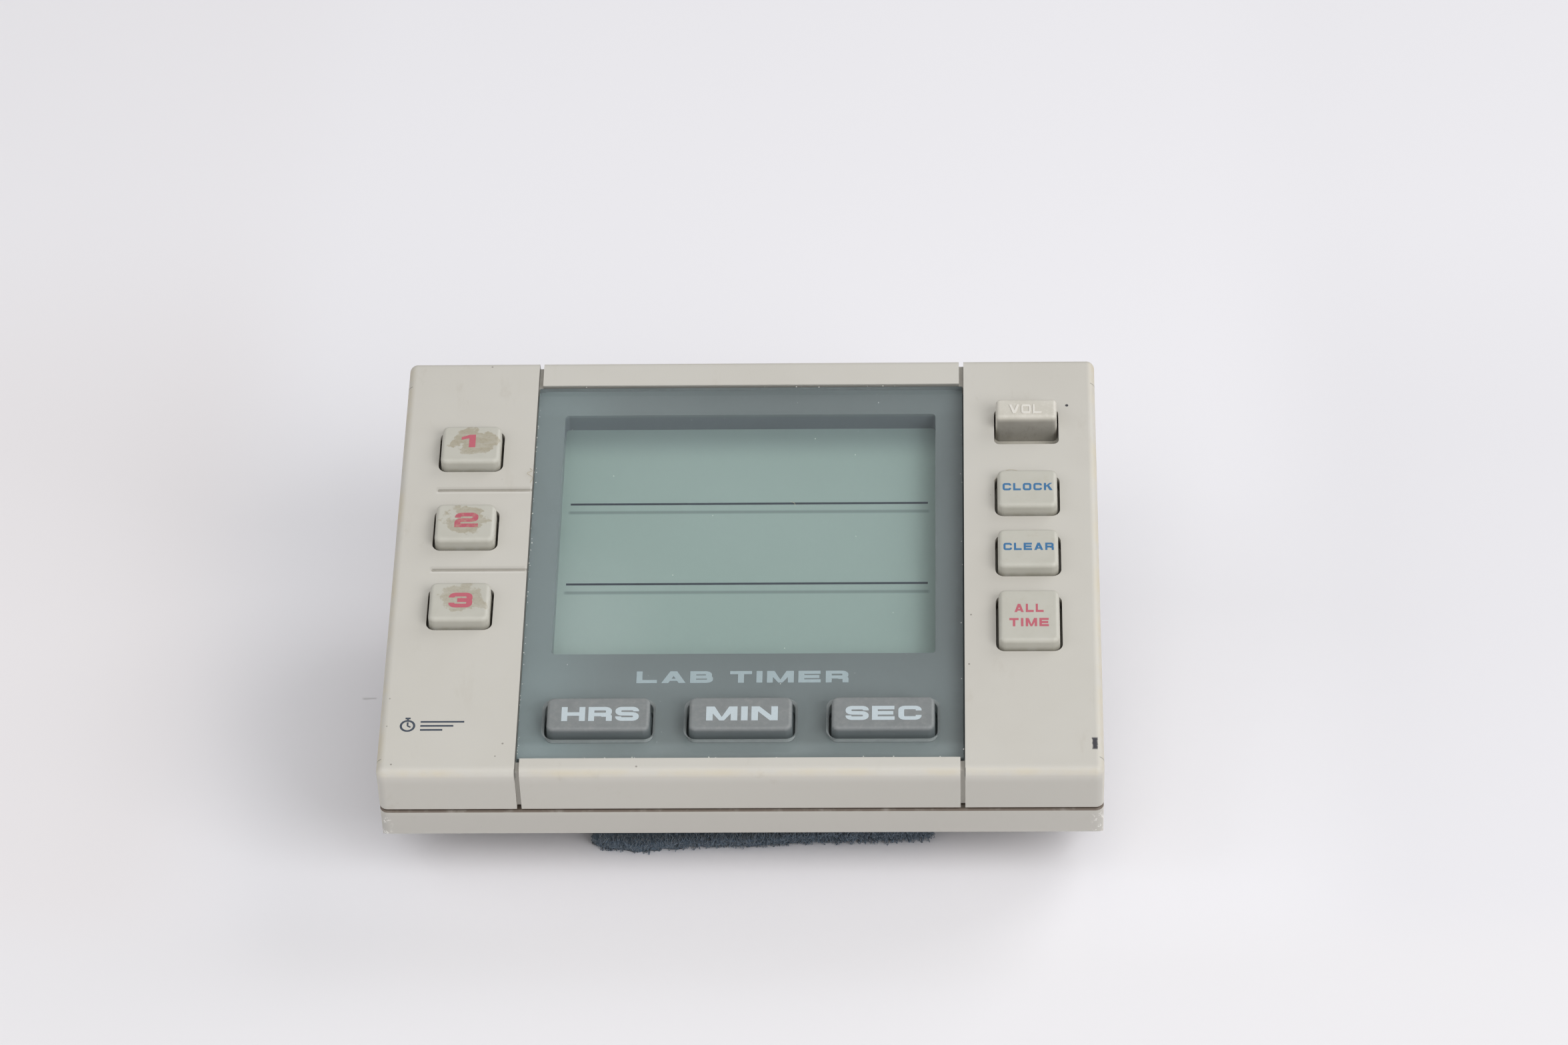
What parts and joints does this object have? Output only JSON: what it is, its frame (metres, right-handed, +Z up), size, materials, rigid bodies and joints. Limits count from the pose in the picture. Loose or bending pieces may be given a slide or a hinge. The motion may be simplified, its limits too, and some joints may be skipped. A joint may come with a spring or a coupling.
{
  "type": "lab timer",
  "caption": "Flat digital lab timer with a wide display, push keys, a volume slide, a battery door, magnets, a hook-and-loop pad and a flip-out stand.",
  "frame": {"origin": "centre of the timer's bounding box, on the table it stands on", "axes": "+X to the right across the face, +Y away from the person reading it, +Z up; the face leans back 12 degrees on the stand"},
  "size_m": [0.086, 0.0688, 0.0344],
  "materials": {
    "case_plastic": "fine moulded texture, slightly yellowed",
    "window_clear": "clear polished window",
    "mask_grey": "satin grey",
    "lcd_glass": "reflective display, grey green",
    "reflector_foil": "diffuse foil",
    "contact_rubber": "layered",
    "board_laminate": "solder mask",
    "black_epoxy": "potted",
    "plated_steel": "tin plated",
    "chip_ceramic": "matt",
    "black_plastic": "moulded",
    "pale_key": "moulded, worn",
    "grey_key": "moulded, satin",
    "dome_silicone": "translucent",
    "cell_body": null,
    "spring_steel": "wire",
    "brass_disc": "thin sheet",
    "screw_steel": "zinc plated",
    "magnet_nickel": "nickel plated, scuffed",
    "hook_tape": "woven hook tape",
    "loop_tape": "loop pile",
    "pin_steel": "drawn"
  },
  "bodies": {
    "case": {"battery_cell": "cell_body", "battery_contact": "plated_steel", "battery_spring": "spring_steel", "board_chips": "chip_ceramic", "board_screws": "screw_steel", "buzzer_disc": "brass_disc", "buzzer_holder": "black_plastic", "buzzer_springs": "spring_steel", "case_screws": "screw_steel", "chip_blob": "black_epoxy", "clock_crystal": "plated_steel", "display_frame": "mask_grey", "dome_1": "dome_silicone", "dome_2": "dome_silicone", "dome_3": "dome_silicone", "dome_all_time": "dome_silicone", "dome_clear": "dome_silicone", "dome_clock": "dome_silicone", "dome_hours": "dome_silicone", "dome_minutes": "dome_silicone", "dome_seconds": "dome_silicone", "front_case": "case_plastic", "lcd_panel": "lcd_glass", "lcd_reflector": "reflector_foil", "lens": "window_clear", "magnets": "magnet_nickel", "main_board": "board_laminate", "pad_hook": "hook_tape", "pad_loop": "loop_tape", "rear_case": "case_plastic", "smoothing_capacitor": "black_epoxy", "stand_pin": "pin_steel", "volume_switch": "plated_steel", "zebra_strip": "contact_rubber"},
    "key_1": {"key_1": "pale_key"},
    "key_2": {"key_2": "pale_key"},
    "key_3": {"key_3": "pale_key"},
    "key_clock": {"key_clock": "pale_key"},
    "key_clear": {"key_clear": "pale_key"},
    "key_all_time": {"key_all_time": "pale_key"},
    "key_hours": {"key_hours": "grey_key"},
    "key_minutes": {"key_minutes": "grey_key"},
    "key_seconds": {"key_seconds": "grey_key"},
    "volume_slide": {"volume_knob": "case_plastic", "volume_switch_lever": "black_plastic"},
    "battery_door": {"battery_door": "case_plastic"},
    "stand": {"stand_leg": "case_plastic"}
  },
  "joints": [
    {"name": "key_1_press", "type": "slide", "parent": "case", "child": "key_1", "axis": [0, 0.2079, -0.9781], "range_m": [0, 0.0009], "stiffness_N_per_m": 300, "springref_m": -0.0004, "deforming": ["dome_1"]},
    {"name": "key_2_press", "type": "slide", "parent": "case", "child": "key_2", "axis": [0, 0.2079, -0.9781], "range_m": [0, 0.0009], "stiffness_N_per_m": 300, "springref_m": -0.0004, "deforming": ["dome_2"]},
    {"name": "key_3_press", "type": "slide", "parent": "case", "child": "key_3", "axis": [0, 0.2079, -0.9781], "range_m": [0, 0.0009], "stiffness_N_per_m": 300, "springref_m": -0.0004, "deforming": ["dome_3"]},
    {"name": "key_clock_press", "type": "slide", "parent": "case", "child": "key_clock", "axis": [0, 0.2079, -0.9781], "range_m": [0, 0.0009], "stiffness_N_per_m": 300, "springref_m": -0.0004, "deforming": ["dome_clock"]},
    {"name": "key_clear_press", "type": "slide", "parent": "case", "child": "key_clear", "axis": [0, 0.2079, -0.9781], "range_m": [0, 0.0009], "stiffness_N_per_m": 300, "springref_m": -0.0004, "deforming": ["dome_clear"]},
    {"name": "key_all_time_press", "type": "slide", "parent": "case", "child": "key_all_time", "axis": [0, 0.2079, -0.9781], "range_m": [0, 0.0009], "stiffness_N_per_m": 300, "springref_m": -0.0004, "deforming": ["dome_all_time"]},
    {"name": "key_hours_press", "type": "slide", "parent": "case", "child": "key_hours", "axis": [0, 0.2079, -0.9781], "range_m": [0, 0.0009], "stiffness_N_per_m": 300, "springref_m": -0.0004, "deforming": ["dome_hours"]},
    {"name": "key_minutes_press", "type": "slide", "parent": "case", "child": "key_minutes", "axis": [0, 0.2079, -0.9781], "range_m": [0, 0.0009], "stiffness_N_per_m": 300, "springref_m": -0.0004, "deforming": ["dome_minutes"]},
    {"name": "key_seconds_press", "type": "slide", "parent": "case", "child": "key_seconds", "axis": [0, 0.2079, -0.9781], "range_m": [0, 0.0009], "stiffness_N_per_m": 300, "springref_m": -0.0004, "deforming": ["dome_seconds"]},
    {"name": "volume_slide_travel", "type": "slide", "parent": "case", "child": "volume_slide", "axis": [0, -0.9781, -0.2079], "range_m": [0, 0.0022]},
    {"name": "battery_door_slide", "type": "slide", "parent": "case", "child": "battery_door", "axis": [0, 0.9781, 0.2079], "range_m": [0, 0.0135]},
    {"name": "stand_hinge", "type": "hinge", "parent": "case", "child": "stand", "pos_m": [0, 0.00994, 0.01147], "axis": [1, 0, 0], "range_deg": [-105, 0]}
  ]
}
